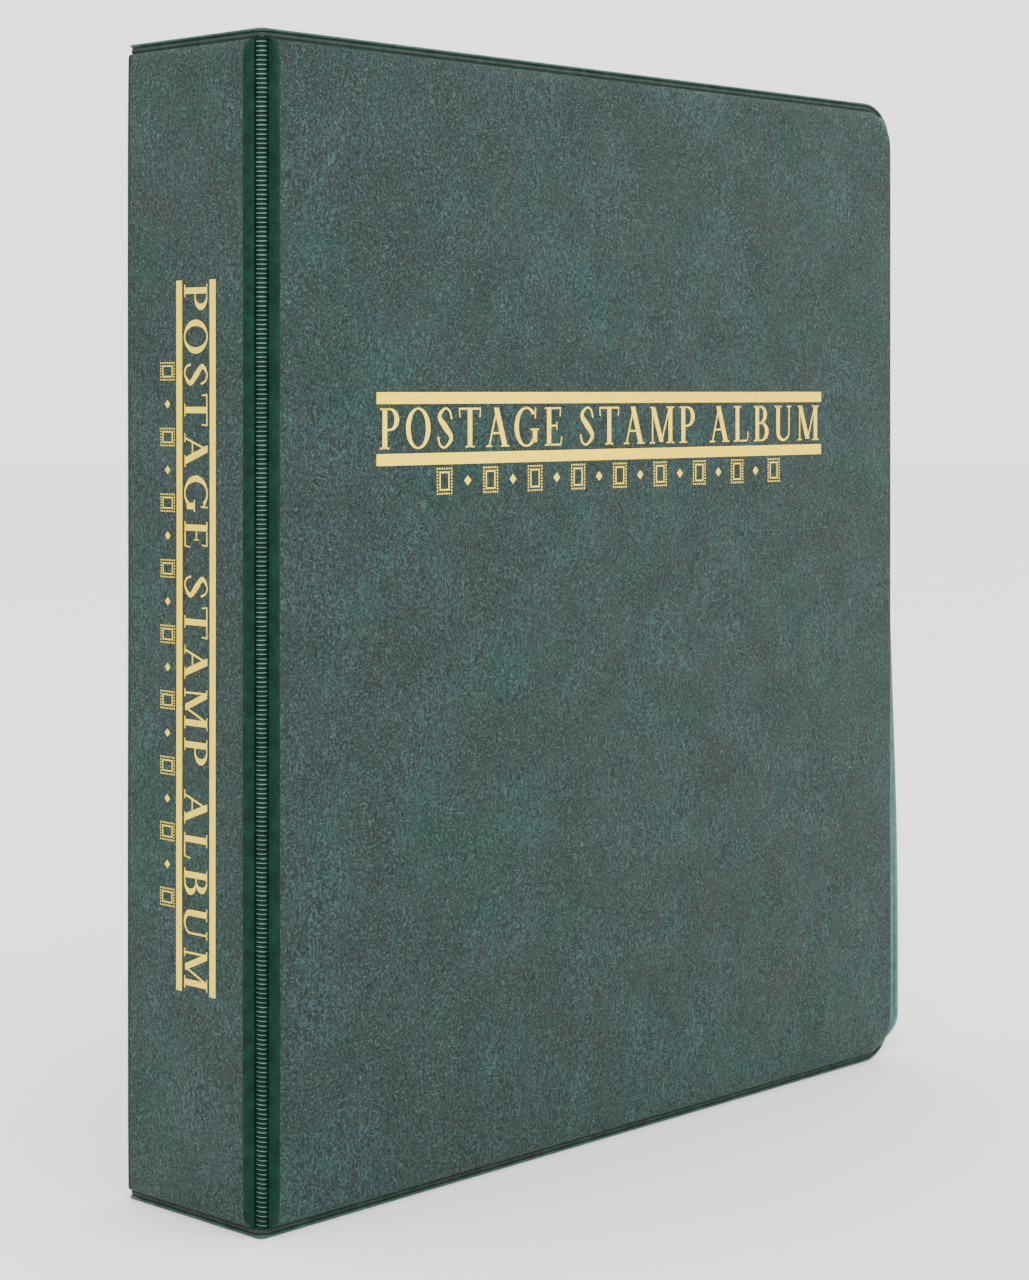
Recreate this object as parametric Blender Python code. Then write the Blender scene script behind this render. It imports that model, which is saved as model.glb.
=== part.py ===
"""Three-ring stamp album: a welded leatherette case round a D-ring mechanism and its pages.

The album stands upright and closed. +Z is up, +X runs from the spine to the fore edge, the front
cover faces -Y and the spine faces -X. The origin is at the middle of the base. Metres.
"""

import math

import bmesh
import bpy
from mathutils import Matrix, Vector

# Case, as it stands closed.
ALBUM_HEIGHT = 0.2921
ALBUM_WIDTH = 0.261
ALBUM_DEPTH = 0.0565
MID_HEIGHT = ALBUM_HEIGHT / 2
CLEARANCE = 0.0003

# One cover panel: outer skin, chipboard and inner liner, welded together round a thin flange.
SKIN_THICKNESS = 0.0005
BOARD_THICKNESS = 0.0024
LINER_THICKNESS = 0.0005
BOARD_DEPTH = SKIN_THICKNESS + CLEARANCE
FLANGE_DEPTH = BOARD_DEPTH + BOARD_THICKNESS
LINER_DEPTH = FLANGE_DEPTH + CLEARANCE
PANEL_THICKNESS = LINER_DEPTH + LINER_THICKNESS
FLANGE_WIDTH = 0.0024
FORE_FLANGE_WIDTH = 0.004
HINGE_LIP = 0.0003
FORE_CORNER_RADIUS = 0.013
CORNER_STEPS = 8

# Crease strips: the flexible welded corners between the spine and the covers.
CREASE_SPAN = 0.0063
CREASE_PANEL_EDGE = CREASE_SPAN + CLEARANCE
CREASE_DEPTH = 0.0026
CREASE_THICKNESS = 0.0011
CREASE_RADIUS = 0.0022
CREASE_PIVOT_INSET = 0.0029
CREASE_STEPS = 6

# Ring mechanism on the back cover. Heights are measured from the back liner's inner face.
RING_PITCH = 0.108
RING_HEIGHTS = {"bottom": -RING_PITCH, "middle": 0.0, "top": RING_PITCH}
WIRE_RADIUS = 0.00175
WIRE_SIDES_STEP = 3
RING_CENTRE_HEIGHT = 0.023
RING_ARC_RADIUS = 0.0135
RING_SPLIT_ANGLE = math.radians(145)
RING_TIP_GAP = CLEARANCE / RING_ARC_RADIUS
BOW_UPPER_PULL = 0.0131
BOW_LOWER_PULL = 0.011
BOW_SWAY = 0.002
ARC_STEPS = 14
SHEATH_FROM_SPINE = 0.038
SHEATH_LENGTH = 0.270
SHEATH_HALF_WIDTH = 0.012
SHEATH_CROWN = 0.0065
SHEATH_SHOULDER = 0.0030
SHEATH_THICKNESS = 0.0008
SHEATH_CURL = 0.0018
DOME_STEPS = 12
BLADE_LENGTH = 0.261
BLADE_LOW = 0.0015
BLADE_THICKNESS = 0.0008
BLADE_OUTER = 0.0106
BLADE_INNER = 0.00015
BLADE_PIVOT = 0.010
BLADE_NOTCH_DEPTH = 0.0032
BLADE_NOTCH_LENGTH = 0.009
POST_OFFSET = 0.005
SLOT_WIDTH = 0.0064
SLOT_LENGTH = 0.0046
TRIGGER_PIVOT_Z = 0.1345
TRIGGER_PIVOT_HEIGHT = 0.0032
TRIGGER_WIDTH = 0.0095
TRIGGER_HALF_GAUGE = 0.0006
TRIGGER_BENDS = ((-0.0026, 0.0), (0.0022, 0.0), (0.0066, 0.0026), (0.0080, 0.0092))
RIVET_SPACING = 0.184
RIVET_SHANK_RADIUS = 0.0017
RIVET_HEAD_RADIUS = 0.0048
RIVET_HEAD_THICKNESS = 0.0009
RIVET_PROUD = CLEARANCE + RIVET_HEAD_THICKNESS
RIVET_DOME_RADIUS = 0.0026
RIVET_SIDE_RADIUS = 0.0043
RIVET_SIDE_HEIGHT = 0.00054
CLINCH_FOOT_RADIUS = 0.0029
CLINCH_TOP_RADIUS = 0.0024
CLINCH_THICKNESS = 0.0006
ROUND_SIDES = 24

# Pages: letter-size album leaves with three oblong holes, which leave room for the rings to open.
PAGE_WIDTH = 0.216
PAGE_HEIGHT = 0.2794
HOLE_RADIUS = 0.0042
HOLE_STRETCH = 0.0012
HOLE_SIDES = 20
HOLE_TO_EDGE = 0.0118
HOLE_PLAY = 0.0019
BUNDLE_LOW = 0.008
BUNDLE_THICKNESS = 0.0047
BUNDLE_GAP = 0.00035
LEAF_THICKNESS = 0.0005
LEAF_FIRST_OFFSET = 0.0005
LEAF_PITCH = 0.0008

# Planes and axes that follow from the sizes above. The rivet heads stand proud of the back.
SPINE_FACE_X = -ALBUM_WIDTH / 2
FRONT_FACE_Y = -(ALBUM_DEPTH + RIVET_PROUD) / 2
BACK_FACE_Y = FRONT_FACE_Y + ALBUM_DEPTH
BACK_LINER_Y = BACK_FACE_Y - PANEL_THICKNESS
SHEATH_X = SPINE_FACE_X + SHEATH_FROM_SPINE
POST_X = SHEATH_X + POST_OFFSET
BOW_X = SHEATH_X - POST_OFFSET
RING_CENTRE_X = POST_X - RING_ARC_RADIUS
HOLE_X = POST_X + HOLE_PLAY
PAGE_INNER_X = HOLE_X - HOLE_TO_EDGE
PAGE_OUTER_X = PAGE_INNER_X + PAGE_WIDTH
BLADE_PIVOT_HEIGHT = BLADE_LOW + BLADE_THICKNESS / 2
BLADE_TOP = BLADE_LOW + BLADE_THICKNESS

MATERIALS = {
    "leatherette": ((0.082, 0.126, 0.112), 0.48, 0.0),
    "crease_vinyl": ((0.030, 0.075, 0.055), 0.42, 0.0),
    "liner_vinyl": ((0.045, 0.085, 0.072), 0.50, 0.0),
    "chipboard": ((0.33, 0.27, 0.20), 0.90, 0.0),
    "nickel": ((0.62, 0.61, 0.58), 0.22, 1.0),
    "paper": ((0.86, 0.84, 0.76), 0.80, 0.0),
}


def clear_scene():
    """Remove whatever objects the file opened with."""
    for old in list(bpy.data.objects):
        bpy.data.objects.remove(old, do_unlink=True)


def material(name):
    """Return the named Principled material, made on first use."""
    found = bpy.data.materials.get(name)
    if found:
        return found
    colour, roughness, metallic = MATERIALS[name]
    made = bpy.data.materials.new(name)
    made.use_nodes = True
    shader = made.node_tree.nodes["Principled BSDF"]
    shader.inputs["Base Color"].default_value = (*colour, 1.0)
    shader.inputs["Roughness"].default_value = roughness
    shader.inputs["Metallic"].default_value = metallic
    return made


def axis_empty(name, position, parent=None):
    """Add an empty on a joint's axis, for the pieces that the joint moves."""
    empty = bpy.data.objects.new(name, None)
    bpy.context.scene.collection.objects.link(empty)
    empty.parent = parent
    local = Vector(position)
    if parent:
        local = parent.matrix_world.inverted() @ local
    empty.location = local
    bpy.context.view_layer.update()
    return empty


def add_object(name, data, material_name, parent):
    """Link a mesh or curve, modelled in world coordinates, under its joint's empty."""
    data.materials.append(material(material_name))
    made = bpy.data.objects.new(name, data)
    bpy.context.scene.collection.objects.link(made)
    if parent:
        made.parent = parent
        made.matrix_parent_inverse = parent.matrix_world.inverted()
    return made


def finish_mesh(name, bm, smooth=False):
    """Turn a bmesh into a mesh with its faces pointing out."""
    bmesh.ops.remove_doubles(bm, verts=bm.verts, dist=1e-7)
    bmesh.ops.recalc_face_normals(bm, faces=bm.faces)
    mesh = bpy.data.meshes.new(name)
    bm.to_mesh(mesh)
    bm.free()
    if smooth:
        mesh.shade_smooth()
        mesh.set_sharp_from_angle(angle=math.radians(35))
    return mesh


def loft(rings):
    """Bridge a row of equal closed rings and cap both ends."""
    bm = bmesh.new()
    loops = [[bm.verts.new(point) for point in ring] for ring in rings]
    for low, high in zip(loops, loops[1:]):
        for i in range(len(low)):
            j = (i + 1) % len(low)
            bm.faces.new((low[i], low[j], high[j], high[i]))
    bm.faces.new(loops[0])
    bm.faces.new(loops[-1])
    return bm


def prism(outline, low, high, place):
    """Extrude a flat outline between two levels; place maps (a, b, level) to a point."""
    return loft([[place(a, b, level) for a, b in outline] for level in (low, high)])


def in_back_frame(x, height, z):
    """Point at a height above the back liner, measured towards the front cover."""
    return Vector((x, BACK_LINER_Y - height, z))


def cutter(name, bm):
    """Add a hidden wire object for a Boolean to subtract."""
    made = add_object(name, finish_mesh(name, bm), "nickel", None)
    made.hide_render = True
    made.display_type = "WIRE"
    return made


def subtract(target, tool):
    """Cut a tool out of a piece."""
    cut = target.modifiers.new("cut_" + tool.name, "BOOLEAN")
    cut.operation = "DIFFERENCE"
    cut.solver = "EXACT"
    cut.object = tool


def merge_into(target, source):
    """Add a copy of one bmesh's separate body to another."""
    scratch = bpy.data.meshes.new("scratch")
    source.to_mesh(scratch)
    source.free()
    target.from_mesh(scratch)
    bpy.data.meshes.remove(scratch)


# --- Cover panels -----------------------------------------------------------------------------


def panel_outline(width, hinge_inset, far_inset, level_inset, corner_radius):
    """Outline of a panel in its own plane: square at the hinge, rounded at the fore edge."""
    low, high = level_inset, ALBUM_HEIGHT - level_inset
    near, far = hinge_inset, width - far_inset
    if corner_radius <= 0:
        return [(near, low), (far, low), (far, high), (near, high)]
    points = [(near, low)]
    for centre_z, start in ((low + corner_radius, -90), (high - corner_radius, 0)):
        for step in range(CORNER_STEPS + 1):
            angle = math.radians(start + 90 * step / CORNER_STEPS)
            x = far - corner_radius + corner_radius * math.cos(angle)
            z = centre_z + corner_radius * math.sin(angle)
            points.append((x, z))
    points.append((near, high))
    return points


def panel_pieces(prefix, width, far_flange, corner_radius, matrix, parent):
    """Make one panel's skin, board and liner, with its outer face at depth 0."""

    def ring(hinge_inset, far_inset, level_inset, depth):
        radius = corner_radius - max(far_inset, 0.0) if corner_radius else 0.0
        outline = panel_outline(width, hinge_inset, far_inset, level_inset, radius)
        return [matrix @ Vector((x, depth, z)) for x, z in outline]

    wall = SKIN_THICKNESS
    inner = wall + CLEARANCE
    stations = (
        (HINGE_LIP + wall, far_flange + wall, FLANGE_WIDTH + wall, wall),
        (HINGE_LIP + wall, far_flange + wall, FLANGE_WIDTH + wall, FLANGE_DEPTH),
        (0.0, 0.0, 0.0, FLANGE_DEPTH),
        (0.0, 0.0, 0.0, FLANGE_DEPTH - wall),
        (HINGE_LIP, far_flange, FLANGE_WIDTH, FLANGE_DEPTH - wall),
        (HINGE_LIP, far_flange, FLANGE_WIDTH, wall),
        (HINGE_LIP + wall, far_flange + wall, FLANGE_WIDTH + wall, 0.0),
    )
    skin = loft([ring(*station) for station in stations])
    board_edge = (HINGE_LIP + inner, far_flange + inner, FLANGE_WIDTH + inner)
    board = loft([ring(*board_edge, depth) for depth in (BOARD_DEPTH, FLANGE_DEPTH)])
    liner = loft([ring(0.0, 0.0, 0.0, depth) for depth in (LINER_DEPTH, PANEL_THICKNESS)])
    made = {}
    for layer, bm, slot in (
        ("skin", skin, "leatherette"),
        ("board", board, "chipboard"),
        ("liner", liner, "liner_vinyl"),
    ):
        name = f"{prefix}_{layer}"
        made[layer] = add_object(name, finish_mesh(name, bm), slot, parent)
    return made


def crease_strip(name, corner_y, inward, parent):
    """Make the corner strip that bends between the spine and a cover, in the plane of the welds."""

    def side(depth, radius):
        """One face of the strip, from its cover edge round the corner to its spine edge."""
        centre = depth + radius
        points = [(CREASE_SPAN, depth)]
        for step in range(CREASE_STEPS + 1):
            angle = math.radians(90 * step / CREASE_STEPS)
            points.append((centre - radius * math.sin(angle), centre - radius * math.cos(angle)))
        return points + [(depth, CREASE_SPAN)]

    outer = side(CREASE_DEPTH, CREASE_RADIUS)
    inner = side(CREASE_DEPTH + CREASE_THICKNESS, CREASE_RADIUS - CREASE_THICKNESS)
    outline = outer + inner[::-1]
    bm = prism(
        outline,
        0.0,
        ALBUM_HEIGHT,
        lambda a, b, level: Vector((SPINE_FACE_X + a, corner_y + inward * b, level)),
    )
    return add_object(name, finish_mesh(name, bm, smooth=True), "crease_vinyl", parent)


# --- Ring mechanism ---------------------------------------------------------------------------


def turned(profile, x, z):
    """Turn a (radius, height) profile about an axis that stands on the back liner."""
    rings = []
    for radius, height in profile:
        ring = []
        for step in range(ROUND_SIDES):
            angle = 2 * math.pi * step / ROUND_SIDES
            a = x + radius * math.cos(angle)
            b = z + radius * math.sin(angle)
            ring.append(in_back_frame(a, height, b))
        rings.append(ring)
    return loft(rings)


def dome_height(offset):
    """Height of the sheath's outer surface at a distance from its centre line."""
    across = offset / SHEATH_HALF_WIDTH
    return SHEATH_SHOULDER + (SHEATH_CROWN - SHEATH_SHOULDER) * (1 - across * across)


def ring_sheath(tools):
    """Make the domed sheath whose curled edges carry the two blades."""
    half = SHEATH_HALF_WIDTH
    gauge = SHEATH_THICKNESS
    outline = [(-half + SHEATH_CURL, CLEARANCE), (-half, CLEARANCE)]
    for step in range(DOME_STEPS + 1):
        offset = half * (2 * step / DOME_STEPS - 1)
        outline.append((offset, dome_height(offset)))
    outline += [(half, CLEARANCE), (half - SHEATH_CURL, CLEARANCE)]
    outline += [(half - SHEATH_CURL, CLEARANCE + gauge), (half - gauge, CLEARANCE + gauge)]
    inner_half = half - gauge
    for step in range(DOME_STEPS + 1):
        offset = inner_half * (1 - 2 * step / DOME_STEPS)
        outline.append((offset, dome_height(offset) - gauge))
    outline += [(gauge - half, CLEARANCE + gauge), (SHEATH_CURL - half, CLEARANCE + gauge)]
    ends = MID_HEIGHT - SHEATH_LENGTH / 2, MID_HEIGHT + SHEATH_LENGTH / 2
    bm = prism(outline, *ends, lambda a, b, level: in_back_frame(SHEATH_X + a, b, level))
    sheath = add_object("ring_sheath", finish_mesh("ring_sheath", bm, smooth=True), "nickel", None)
    for tool in tools:
        subtract(sheath, tool)
    return sheath


def slot_cutter():
    """Six slots through the sheath's dome, one for each ring half."""
    all_slots = bmesh.new()
    middle = (SLOT_WIDTH - 2 * WIRE_RADIUS - 4 * CLEARANCE) / 2
    for level in RING_HEIGHTS.values():
        for side in (-1, 1):
            x = SHEATH_X + side * (POST_OFFSET + middle)
            half_x, half_z = SLOT_WIDTH / 2, SLOT_LENGTH / 2
            z = MID_HEIGHT + level
            outline = [
                (x - half_x, z - half_z),
                (x + half_x, z - half_z),
                (x + half_x, z + half_z),
                (x - half_x, z + half_z),
            ]
            low, high = BLADE_TOP, SHEATH_CROWN + SHEATH_THICKNESS
            box = prism(outline, low, high, lambda a, b, height: in_back_frame(a, height, b))
            merge_into(all_slots, box)
    return cutter("slot_cutter", all_slots)


def rivet_levels():
    """Heights of the two rivets, by name."""
    return {"bottom": MID_HEIGHT - RIVET_SPACING / 2, "top": MID_HEIGHT + RIVET_SPACING / 2}


def rivet_cutter():
    """Holes for the rivet shanks, right through the back cover and the sheath."""
    holes = bmesh.new()
    radius = RIVET_SHANK_RADIUS + CLEARANCE
    span = (-2 * PANEL_THICKNESS, 2 * SHEATH_CROWN)
    for level in rivet_levels().values():
        merge_into(holes, turned([(radius, height) for height in span], SHEATH_X, level))
    return cutter("rivet_cutter", holes)


def rivet(name, level):
    """Make one rivet: domed head outside, shank, and clinched head on the sheath."""
    seat = -PANEL_THICKNESS - CLEARANCE
    clinch = SHEATH_CROWN + CLEARANCE
    profile = [
        (RIVET_DOME_RADIUS, seat - RIVET_HEAD_THICKNESS),
        (RIVET_SIDE_RADIUS, seat - RIVET_SIDE_HEIGHT),
        (RIVET_HEAD_RADIUS, seat),
        (RIVET_SHANK_RADIUS, seat),
        (RIVET_SHANK_RADIUS, clinch),
        (CLINCH_FOOT_RADIUS, clinch),
        (CLINCH_TOP_RADIUS, clinch + CLINCH_THICKNESS),
    ]
    bm = turned(profile, SHEATH_X, level)
    return add_object(name, finish_mesh(name, bm, smooth=True), "nickel", None)


def blade(name, side, parent):
    """Make one spring blade, notched round the rivets; side is +1 towards the fore edge."""
    end = BLADE_LENGTH / 2
    notch = BLADE_NOTCH_LENGTH / 2
    outline = [(BLADE_OUTER, -end), (BLADE_OUTER, end), (BLADE_INNER, end)]
    for level in (RIVET_SPACING / 2, -RIVET_SPACING / 2):
        outline += [
            (BLADE_INNER, level + notch),
            (BLADE_NOTCH_DEPTH, level + notch),
            (BLADE_NOTCH_DEPTH, level - notch),
            (BLADE_INNER, level - notch),
        ]
    outline.append((BLADE_INNER, -end))

    def place(a, b, height):
        return in_back_frame(SHEATH_X + side * a, height, MID_HEIGHT + b)

    bm = prism(outline, BLADE_LOW, BLADE_TOP, place)
    return add_object(name, finish_mesh(name, bm), "nickel", parent)


def wire(name, route, level, parent):
    """Make one ring half from its route of (x, height) points."""
    curve = bpy.data.curves.new(name, "CURVE")
    curve.dimensions = "3D"
    curve.bevel_depth = WIRE_RADIUS
    curve.bevel_resolution = WIRE_SIDES_STEP
    curve.use_fill_caps = True
    spline = curve.splines.new("POLY")
    spline.points.add(len(route) - 1)
    for point, (x, height) in zip(spline.points, route):
        point.co = (*in_back_frame(x, height, MID_HEIGHT + level), 1.0)
    return add_object(name, curve, "nickel", parent)


def arc_route(start, end, steps):
    """Points along the ring's round top, by angle from the fore-edge side."""
    route = []
    for step in range(steps + 1):
        angle = start + (end - start) * step / steps
        x = RING_CENTRE_X + RING_ARC_RADIUS * math.cos(angle)
        height = RING_CENTRE_HEIGHT + RING_ARC_RADIUS * math.sin(angle)
        route.append((x, height))
    return route


def post_route():
    """Straight leg through the pages, then over the top to the split."""
    foot = BLADE_TOP + CLEARANCE
    leg = [(POST_X, foot), (POST_X, (foot + RING_CENTRE_HEIGHT) / 2)]
    return leg + arc_route(0.0, RING_SPLIT_ANGLE, ARC_STEPS)


def bow_route():
    """From the split down the bowed leg on the spine side, a cubic curve between four pulls."""
    route = arc_route(RING_SPLIT_ANGLE + RING_TIP_GAP, math.pi, 4)
    start = Vector((RING_CENTRE_X - RING_ARC_RADIUS, RING_CENTRE_HEIGHT))
    foot = BLADE_TOP + CLEARANCE
    pulls = (
        start,
        Vector((start.x, BOW_UPPER_PULL)),
        Vector((BOW_X - BOW_SWAY, BOW_LOWER_PULL)),
        Vector((BOW_X, foot + WIRE_RADIUS)),
    )
    for step in range(1, ARC_STEPS + 1):
        t = step / ARC_STEPS
        weights = ((1 - t) ** 3, 3 * t * (1 - t) ** 2, 3 * t * t * (1 - t), t**3)
        point = sum((pull * weight for pull, weight in zip(pulls, weights)), Vector((0.0, 0.0)))
        route.append((point.x, point.y))
    route.append((BOW_X, foot))
    return route


def trigger(name, outward, parent):
    """Make one end lever: a foot under the sheath and a thumb tab beyond it."""
    gauge = TRIGGER_HALF_GAUGE
    left, right = [], []
    for i, (z, height) in enumerate(TRIGGER_BENDS):
        before = Vector(TRIGGER_BENDS[max(i - 1, 0)])
        after = Vector(TRIGGER_BENDS[min(i + 1, len(TRIGGER_BENDS) - 1)])
        across = (after - before).normalized().orthogonal() * gauge
        left.append((z + across.x, height + across.y))
        right.append((z - across.x, height - across.y))
    outline = left + right[::-1]

    def place(a, b, level):
        z = MID_HEIGHT + outward * (TRIGGER_PIVOT_Z + a)
        return in_back_frame(SHEATH_X + level, TRIGGER_PIVOT_HEIGHT + b, z)

    bm = prism(outline, -TRIGGER_WIDTH / 2, TRIGGER_WIDTH / 2, place)
    return add_object(name, finish_mesh(name, bm), "nickel", parent)


# --- Pages ------------------------------------------------------------------------------------


def punch_cutter():
    """Three oblong holes, through every page at once."""
    holes = bmesh.new()
    span = (BUNDLE_LOW / 2, RING_CENTRE_HEIGHT + RING_ARC_RADIUS)
    for level in RING_HEIGHTS.values():
        rings = []
        for height in span:
            ring = []
            for step in range(HOLE_SIDES):
                angle = 2 * math.pi * (step + 0.5) / HOLE_SIDES
                centre_x = HOLE_X + math.copysign(HOLE_STRETCH, math.cos(angle))
                x = centre_x + HOLE_RADIUS * math.cos(angle)
                z = MID_HEIGHT + level + HOLE_RADIUS * math.sin(angle)
                ring.append(in_back_frame(x, height, z))
            rings.append(ring)
        merge_into(holes, loft(rings))
    return cutter("punch_cutter", holes)


def page_block(name, low, thickness, parent, punch):
    """Make one punched leaf, or a bundle of them that moves as one."""
    z_low, z_high = MID_HEIGHT - PAGE_HEIGHT / 2, MID_HEIGHT + PAGE_HEIGHT / 2
    outline = [
        (PAGE_INNER_X, z_low),
        (PAGE_OUTER_X, z_low),
        (PAGE_OUTER_X, z_high),
        (PAGE_INNER_X, z_high),
    ]
    high = low + thickness
    bm = prism(outline, low, high, lambda a, b, height: in_back_frame(a, height, b))
    made = add_object(name, finish_mesh(name, bm), "paper", parent)
    subtract(made, punch)
    return made


# --- Assembly ---------------------------------------------------------------------------------


def build_case():
    """Make the three panels and the two creases; return the back cover's pieces."""
    pivot_x = SPINE_FACE_X + CREASE_PIVOT_INSET
    spine_axis = axis_empty("spine_fold_axis", (pivot_x, BACK_FACE_Y - CREASE_PIVOT_INSET, 0))
    cover_point = (pivot_x, FRONT_FACE_Y + CREASE_PIVOT_INSET, 0)
    cover_axis = axis_empty("cover_fold_axis", cover_point, spine_axis)
    edge = CREASE_PANEL_EDGE
    cover_width = ALBUM_WIDTH - edge
    front = Matrix.Translation((SPINE_FACE_X + edge, FRONT_FACE_Y, 0))
    flip = Matrix.Rotation(math.pi, 4, "X")
    back = Matrix.Translation((SPINE_FACE_X + edge, BACK_FACE_Y, ALBUM_HEIGHT)) @ flip
    turn = Matrix.Rotation(-math.pi / 2, 4, "Z")
    spine = Matrix.Translation((SPINE_FACE_X, BACK_FACE_Y - edge, 0)) @ turn
    fore = (FORE_FLANGE_WIDTH, FORE_CORNER_RADIUS)
    panel_pieces("front", cover_width, *fore, front, cover_axis)
    panel_pieces("spine", ALBUM_DEPTH - 2 * edge, HINGE_LIP, 0.0, spine, spine_axis)
    crease_strip("front_crease", FRONT_FACE_Y, 1, spine_axis)
    crease_strip("back_crease", BACK_FACE_Y, -1, spine_axis)
    return panel_pieces("back", cover_width, *fore, back, None)


def build_rings(back_pieces):
    """Make the sheath, rivets, blades, ring halves and triggers."""
    rivets = rivet_cutter()
    for piece in back_pieces.values():
        subtract(piece, rivets)
    ring_sheath((slot_cutter(), rivets))
    for place, level in rivet_levels().items():
        rivet(f"rivet_{place}", level)
    halves = (("post", 1, post_route()), ("bow", -1, bow_route()))
    for kind, side, route in halves:
        pivot = in_back_frame(SHEATH_X + side * BLADE_PIVOT, BLADE_PIVOT_HEIGHT, MID_HEIGHT)
        axis = axis_empty(f"{kind}_axis", pivot)
        blade(f"{kind}_blade", side, axis)
        for place, level in RING_HEIGHTS.items():
            wire(f"ring_{kind}_{place}", route, level, axis)
    for place, outward in (("bottom", -1), ("top", 1)):
        z = MID_HEIGHT + outward * TRIGGER_PIVOT_Z
        axis = axis_empty(f"trigger_{place}_axis", in_back_frame(SHEATH_X, TRIGGER_PIVOT_HEIGHT, z))
        trigger(f"trigger_{place}", outward, axis)


def build_pages():
    """Make the stack of three bundles, which has some play on the rings, and the leaves that turn."""
    punch = punch_cutter()
    stack_axis = axis_empty("page_stack_axis", in_back_frame(POST_X, BUNDLE_LOW, MID_HEIGHT))
    low = BUNDLE_LOW
    for place in ("back", "middle", "front"):
        page_block(f"pages_{place}", low, BUNDLE_THICKNESS, stack_axis, punch)
        low += BUNDLE_THICKNESS + BUNDLE_GAP
    turn_point = in_back_frame(RING_CENTRE_X, RING_CENTRE_HEIGHT, MID_HEIGHT)
    for index in range(3):
        turn_axis = axis_empty(f"leaf_{index + 1}_axis", turn_point, stack_axis)
        middle = RING_CENTRE_HEIGHT + LEAF_FIRST_OFFSET + index * LEAF_PITCH
        low = middle - LEAF_THICKNESS / 2
        page_block(f"leaf_{index + 1}", low, LEAF_THICKNESS, turn_axis, punch)


clear_scene()
build_rings(build_case())
build_pages()
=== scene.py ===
"""Looks of the closed stamp album: grained leatherette panels, ribbed creases, gold foil, rings, pages."""

import math
import random

import bmesh
import bpy
from mathutils import Matrix, Vector
from mathutils.geometry import interpolate_bezier


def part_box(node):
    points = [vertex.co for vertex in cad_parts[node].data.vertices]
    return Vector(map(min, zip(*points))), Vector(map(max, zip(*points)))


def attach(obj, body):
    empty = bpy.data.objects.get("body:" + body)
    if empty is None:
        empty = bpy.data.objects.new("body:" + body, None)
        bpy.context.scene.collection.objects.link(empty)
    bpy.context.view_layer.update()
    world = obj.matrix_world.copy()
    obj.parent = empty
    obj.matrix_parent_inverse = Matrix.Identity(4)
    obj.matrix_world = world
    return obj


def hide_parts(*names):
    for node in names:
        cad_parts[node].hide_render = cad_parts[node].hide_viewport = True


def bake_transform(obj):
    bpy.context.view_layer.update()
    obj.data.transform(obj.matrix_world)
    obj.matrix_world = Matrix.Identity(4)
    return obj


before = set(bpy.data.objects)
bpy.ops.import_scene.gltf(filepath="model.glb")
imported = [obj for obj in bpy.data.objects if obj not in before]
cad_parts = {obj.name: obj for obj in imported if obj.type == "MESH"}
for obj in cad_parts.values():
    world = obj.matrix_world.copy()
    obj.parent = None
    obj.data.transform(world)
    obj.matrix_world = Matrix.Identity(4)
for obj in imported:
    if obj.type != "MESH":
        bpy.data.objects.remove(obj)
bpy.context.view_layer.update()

MM = 0.001
REST_PLACE = "rest_place"

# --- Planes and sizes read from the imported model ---

SKIN_LOW, SKIN_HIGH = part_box("front_skin")
SPINE_LOW, SPINE_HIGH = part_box("spine_skin")
HEIGHT = SKIN_HIGH.z
MID_Z = HEIGHT / 2
SPINE_X = SPINE_LOW.x
FRONT_Y = SKIN_LOW.y
BACK_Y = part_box("back_skin")[1].y
HINGE_EDGE = SKIN_LOW.x - SPINE_X
COVER_WIDTH = SKIN_HIGH.x - SKIN_LOW.x
SPINE_WIDTH = SPINE_HIGH.y - SPINE_LOW.y
PANEL_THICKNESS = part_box("front_liner")[1].y - FRONT_Y

# Shape of a panel's edge, in the plane and in depth below the face. A run is the width over which
# one level passes into the next.
GRID_STEP = 6 * MM
FLANGE = 2.4 * MM
FORE_FLANGE = 4.0 * MM
FORE_RADIUS = 13.0 * MM
HINGE_OVERHANG = 1.85 * MM
GUTTER_EDGE = 1.75 * MM
CUSP = 1.6 * MM
HINGE_FADE = 12 * MM
WELD_DEPTH = 2.75 * MM
RIM_WIDTH = 0.75 * MM
RIM_RISE = 0.35 * MM
GROOVE_PLACE = 1.0 * MM
GROOVE_SPREAD = 0.18 * MM
GROOVE_DEPTH = 0.22 * MM
FOOT_DROP = 0.15 * MM
FOOT_DEPTH = WELD_DEPTH + FOOT_DROP
FOOT_RUN = 0.5 * MM
FOOT_WIDTH = 0.45 * MM
CUT_WIDTH = 0.19 * MM
FORE_TURN = 2.5
WALL_RUN = 0.25 * MM
HINGE_SHOULDER = 1.0 * MM
HINGE_RUN = 1.5 * MM
FORE_RUN = 1.1 * MM
END_SHOULDER = 1.7 * MM
END_RUN = 4.5 * MM
CORNER_BLEND = 8 * MM
CROWN = 0.30 * MM
CROWN_REACH = 30 * MM
WAVE = 0.05 * MM
SKIN_GAUGE = 0.45 * MM
LINING_PRESSED = WELD_DEPTH + 2 * SKIN_GAUGE + 0.02 * MM
LINING_PROUD = 0.06 * MM
PRESS_RUN = (-0.4 * MM, 0.6 * MM)
BOARD_INSET = 4.0 * MM
BOARD_BOTTOM = 3.1 * MM
# The board's outline from face to inside: how far its edge is eased, and at which depth.
BOARD_EDGE = ((0.6 * MM, 1.15 * MM), (0.0, 1.65 * MM), (0.0, 2.9 * MM), (0.3 * MM, BOARD_BOTTOM))
# The fore flange of the front cover bends in, and curls out towards the base; the back one sways.
FRONT_BEND = math.radians(-24)
FRONT_CURL = math.radians(60)
CURL_START = 165 * MM
CURL_END = 30 * MM
BACK_SWAY = math.radians(10)
BACK_SWAY_RATE = 21

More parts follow.
